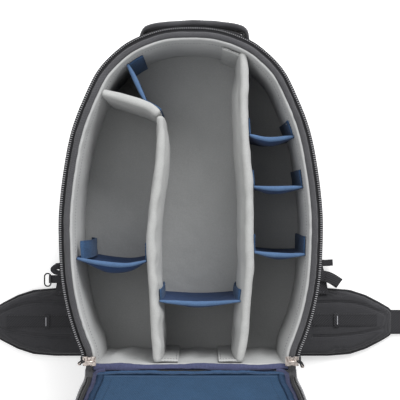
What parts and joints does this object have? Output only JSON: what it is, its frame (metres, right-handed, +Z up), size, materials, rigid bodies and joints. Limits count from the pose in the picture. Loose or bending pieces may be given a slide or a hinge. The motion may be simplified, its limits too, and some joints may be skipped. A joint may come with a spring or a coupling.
{
  "type": "camera backpack",
  "caption": "Open camera backpack lying on its back, with padded dividers, a folded-down zip lid, a carry handle, hip wings and a plain harness.",
  "frame": {"origin": "below the middle of the whole bag's box, on the surface that it lies on", "axes": "+X to the bag's right as seen from its open side, +Y from its foot to its top, +Z up from the surface"},
  "size_m": [0.8566, 0.8948, 0.2013],
  "materials": {
    "shell_fabric": "charcoal packcloth with a fine woven grain",
    "binding_fabric": "ribbed charcoal binding tape",
    "lining_fabric": "light grey brushed lining",
    "blue_fabric": "navy brushed divider cloth with a lighter edge",
    "lid_fabric": "steel blue woven lining",
    "purple_binding": "purple-blue binding tape",
    "zip_teeth": "grey moulded coil on dark tape",
    "slider_metal": "satin silver metal",
    "pull_rubber": "matt moulded rubber",
    "padded_fabric": "black woven cloth over foam",
    "webbing": "black ribbed webbing",
    "hardware_plastic": "black moulded acetal"
  },
  "bodies": {
    "root": {"back_panel": "shell_fabric", "side_wall": "shell_fabric", "lid_shell": "shell_fabric", "rim_binding": "binding_fabric", "zip_tape_body": "binding_fabric", "lining_floor": "lining_fabric", "lining_wall": "lining_fabric", "divider_long_left": "lining_fabric", "divider_long_right": "lining_fabric", "divider_grey_slant": "lining_fabric", "divider_blue_slant": "blue_fabric", "divider_blue_left": "blue_fabric", "divider_blue_middle": "blue_fabric", "divider_blue_right_top": "blue_fabric", "divider_blue_right_mid": "blue_fabric", "divider_blue_right_low": "blue_fabric", "lid_lining": "lid_fabric", "lid_binding": "purple_binding", "hinge_strip": "purple_binding", "zip_chain_body": "zip_teeth", "zip_chain_lid": "zip_teeth", "zip_slider_left": "slider_metal", "zip_slider_right": "slider_metal", "side_ring_left": "slider_metal", "zip_pull_left": "pull_rubber", "zip_pull_right": "pull_rubber", "carry_handle": "padded_fabric", "back_pad_left": "padded_fabric", "back_pad_right": "padded_fabric", "lumbar_pad": "padded_fabric", "shoulder_strap_left": "padded_fabric", "shoulder_strap_right": "padded_fabric", "strap_yoke": "padded_fabric", "hip_wing_left": "padded_fabric", "hip_wing_right": "padded_fabric", "anchor_tab_left": "webbing", "anchor_tab_right": "webbing", "strap_webbing_left": "webbing", "strap_webbing_right": "webbing", "strap_tail_left": "webbing", "strap_tail_right": "webbing", "wing_band_left": "webbing", "wing_band_right": "webbing", "wing_loop_left": "webbing", "wing_loop_right": "webbing", "belt_webbing_left": "webbing", "belt_webbing_right": "webbing", "ladder_lock_left": "hardware_plastic", "ladder_lock_right": "hardware_plastic", "buckle_plug": "hardware_plastic", "buckle_socket": "hardware_plastic"}
  },
  "joints": []
}
